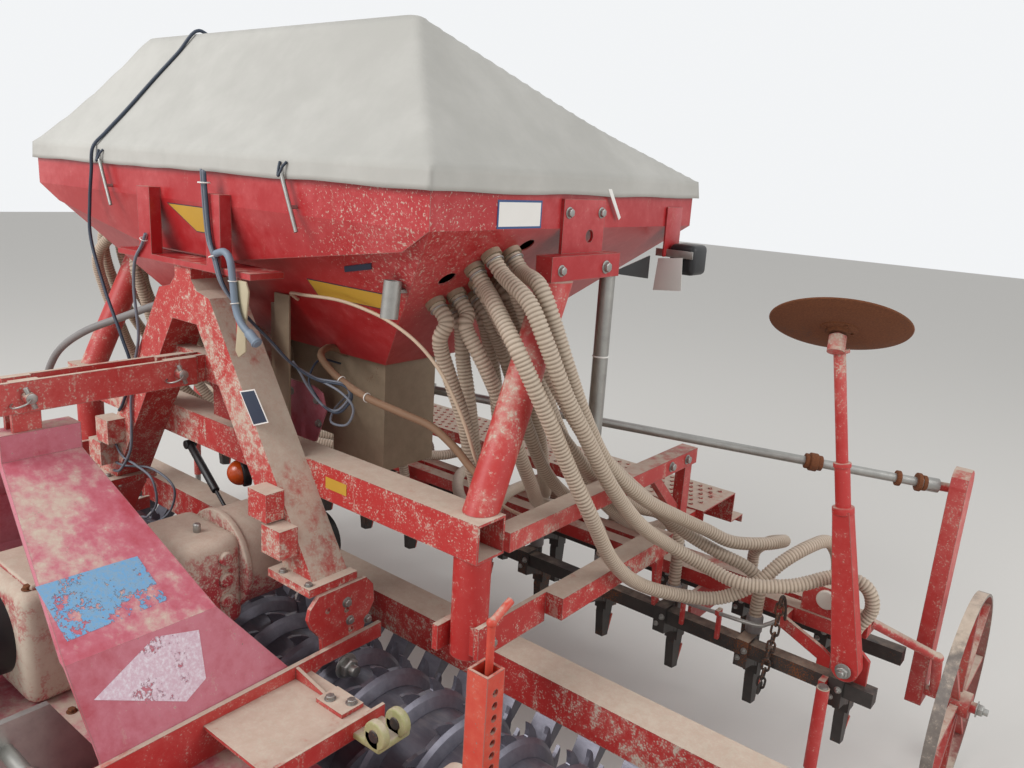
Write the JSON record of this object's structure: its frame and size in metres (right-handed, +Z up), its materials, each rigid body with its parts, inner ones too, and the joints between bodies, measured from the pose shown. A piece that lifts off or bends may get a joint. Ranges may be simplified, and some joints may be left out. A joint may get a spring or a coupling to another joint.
{
  "type": "pneumatic seed drill combination",
  "caption": "Pneumatic seed drill mounted on a power harrow with a toothed packer roller, land wheel, parking stands and folding marker arms.",
  "frame": {"origin": "on the ground under the middle of the box of the whole machine", "axes": "+Z up, -Y towards the tractor, +Y to the rear, +X towards the side of the land wheel"},
  "size_m": [3.24, 2.385, 1.94],
  "materials": {
    "red_paint": "faded red paint with dust",
    "dusty_paint": "beige paint under thick dust",
    "dark_steel": "dark worn iron with red paint rests",
    "bare_steel": "soil-polished steel",
    "zinc": "weathered zinc",
    "black_plastic": "black plastic",
    "hose_plastic": "beige corrugated hose",
    "canvas": "grey-beige canvas",
    "rusty_steel": "rusty steel"
  },
  "bodies": {
    "frame": {"hopper": "red_paint", "hopper_cover": "canvas", "cover_hooks": "zinc", "hopper_posts": "red_paint", "a_frame": "red_paint", "top_bar": "red_paint", "main_beam": "red_paint", "side_frames": "red_paint", "end_brackets": "red_paint", "upper_arms": "red_paint", "lower_arms": "red_paint", "footboard": "red_paint", "coulter_bars": "dark_steel", "coulter_rails": "red_paint", "coulters_front": "dark_steel", "coulters_rear": "dark_steel", "hose_collars": "dusty_paint", "hoses_right": "hose_plastic", "hoses_left": "hose_plastic", "metering_box": "dusty_paint", "fan": "red_paint", "fan_drive": "black_plastic", "air_pipe": "dusty_paint", "drain_tubes": "zinc", "lamps": "black_plastic", "wheel_arm": "red_paint", "chain_case": "red_paint", "marker_mounts": "red_paint", "stand_sockets": "red_paint", "packer_frame": "red_paint", "scrapers": "bare_steel", "adjusters": "red_paint", "trough": "red_paint", "headstock": "red_paint", "carrier_rails": "red_paint", "gearbox": "red_paint", "pto_guard": "black_plastic", "hitch_plates": "zinc"},
    "packer_roller": {"packer_roller": "bare_steel"},
    "land_wheel": {"land_wheel": "red_paint"},
    "drive_shaft": {"drive_shaft": "zinc"},
    "marker_right": {"marker_arm_right": "red_paint"},
    "marker_left": {"marker_arm_left": "red_paint"},
    "disc_right": {"marker_disc_right": "rusty_steel"},
    "disc_left": {"marker_disc_left": "rusty_steel"},
    "stand_r": {"stand_right": "zinc"},
    "stand_l": {"stand_left": "zinc"},
    "rotor_01_body": {"rotor_01": "dark_steel"},
    "rotor_02_body": {"rotor_02": "dark_steel"},
    "rotor_03_body": {"rotor_03": "dark_steel"},
    "rotor_04_body": {"rotor_04": "dark_steel"},
    "rotor_05_body": {"rotor_05": "dark_steel"},
    "rotor_06_body": {"rotor_06": "dark_steel"},
    "rotor_07_body": {"rotor_07": "dark_steel"},
    "rotor_08_body": {"rotor_08": "dark_steel"},
    "rotor_09_body": {"rotor_09": "dark_steel"},
    "rotor_10_body": {"rotor_10": "dark_steel"}
  },
  "joints": [
    {"name": "roller_spin", "type": "hinge", "parent": "frame", "child": "packer_roller", "pos_m": [-0.09, -0.2725, 0.244], "axis": [1, 0, 0], "continuous": true},
    {"name": "wheel_spin", "type": "hinge", "parent": "frame", "child": "land_wheel", "pos_m": [1.57, 0.8875, 0.305], "axis": [1, 0, 0], "continuous": true},
    {"name": "shaft_spin", "type": "hinge", "parent": "frame", "child": "drive_shaft", "pos_m": [1.43, 0.9375, 0.872], "axis": [0.8606, 0.5009, -0.0914], "continuous": true},
    {"name": "marker_right_fold", "type": "hinge", "parent": "frame", "child": "marker_right", "pos_m": [1.366, 0.5225, 0.489], "axis": [0, 1, 0], "range_deg": [0, 110]},
    {"name": "disc_right_spin", "type": "hinge", "parent": "marker_right", "child": "disc_right", "pos_m": [1.22014, 0.5225, 1.31624], "axis": [-0.1533, 0.4695, 0.8695], "continuous": true},
    {"name": "marker_left_fold", "type": "hinge", "parent": "frame", "child": "marker_left", "pos_m": [-1.546, 0.5225, 0.489], "axis": [0, -1, 0], "range_deg": [0, 110]},
    {"name": "disc_left_spin", "type": "hinge", "parent": "marker_left", "child": "disc_left", "pos_m": [-1.40014, 0.5225, 1.31624], "axis": [0.1533, 0.4695, 0.8695], "continuous": true},
    {"name": "stand_r_slide", "type": "slide", "parent": "frame", "child": "stand_r", "axis": [0, 0, 1], "range_m": [0, 0.15]},
    {"name": "stand_l_slide", "type": "slide", "parent": "frame", "child": "stand_l", "axis": [0, 0, 1], "range_m": [0, 0.15]},
    {"name": "rotor_01_spin", "type": "hinge", "parent": "frame", "child": "rotor_01_body", "pos_m": [-1.44, -0.7325, 0.285], "axis": [0, 0, 1], "continuous": true},
    {"name": "rotor_02_spin", "type": "hinge", "parent": "frame", "child": "rotor_02_body", "pos_m": [-1.14, -0.7325, 0.285], "axis": [0, 0, 1], "continuous": true},
    {"name": "rotor_03_spin", "type": "hinge", "parent": "frame", "child": "rotor_03_body", "pos_m": [-0.84, -0.7325, 0.285], "axis": [0, 0, 1], "continuous": true},
    {"name": "rotor_04_spin", "type": "hinge", "parent": "frame", "child": "rotor_04_body", "pos_m": [-0.54, -0.7325, 0.285], "axis": [0, 0, 1], "continuous": true},
    {"name": "rotor_05_spin", "type": "hinge", "parent": "frame", "child": "rotor_05_body", "pos_m": [-0.24, -0.7325, 0.285], "axis": [0, 0, 1], "continuous": true},
    {"name": "rotor_06_spin", "type": "hinge", "parent": "frame", "child": "rotor_06_body", "pos_m": [0.06, -0.7325, 0.285], "axis": [0, 0, 1], "continuous": true},
    {"name": "rotor_07_spin", "type": "hinge", "parent": "frame", "child": "rotor_07_body", "pos_m": [0.36, -0.7325, 0.285], "axis": [0, 0, 1], "continuous": true},
    {"name": "rotor_08_spin", "type": "hinge", "parent": "frame", "child": "rotor_08_body", "pos_m": [0.66, -0.7325, 0.285], "axis": [0, 0, 1], "continuous": true},
    {"name": "rotor_09_spin", "type": "hinge", "parent": "frame", "child": "rotor_09_body", "pos_m": [0.96, -0.7325, 0.285], "axis": [0, 0, 1], "continuous": true},
    {"name": "rotor_10_spin", "type": "hinge", "parent": "frame", "child": "rotor_10_body", "pos_m": [1.26, -0.7325, 0.285], "axis": [0, 0, 1], "continuous": true}
  ],
  "couplings": [
    {"joint": "shaft_spin", "follows": "wheel_spin", "ratio": 1},
    {"joint": "rotor_02_spin", "follows": "rotor_01_spin", "ratio": -1},
    {"joint": "rotor_03_spin", "follows": "rotor_01_spin", "ratio": 1},
    {"joint": "rotor_04_spin", "follows": "rotor_01_spin", "ratio": -1},
    {"joint": "rotor_05_spin", "follows": "rotor_01_spin", "ratio": 1},
    {"joint": "rotor_06_spin", "follows": "rotor_01_spin", "ratio": -1},
    {"joint": "rotor_07_spin", "follows": "rotor_01_spin", "ratio": 1},
    {"joint": "rotor_08_spin", "follows": "rotor_01_spin", "ratio": -1},
    {"joint": "rotor_09_spin", "follows": "rotor_01_spin", "ratio": 1},
    {"joint": "rotor_10_spin", "follows": "rotor_01_spin", "ratio": -1}
  ]
}
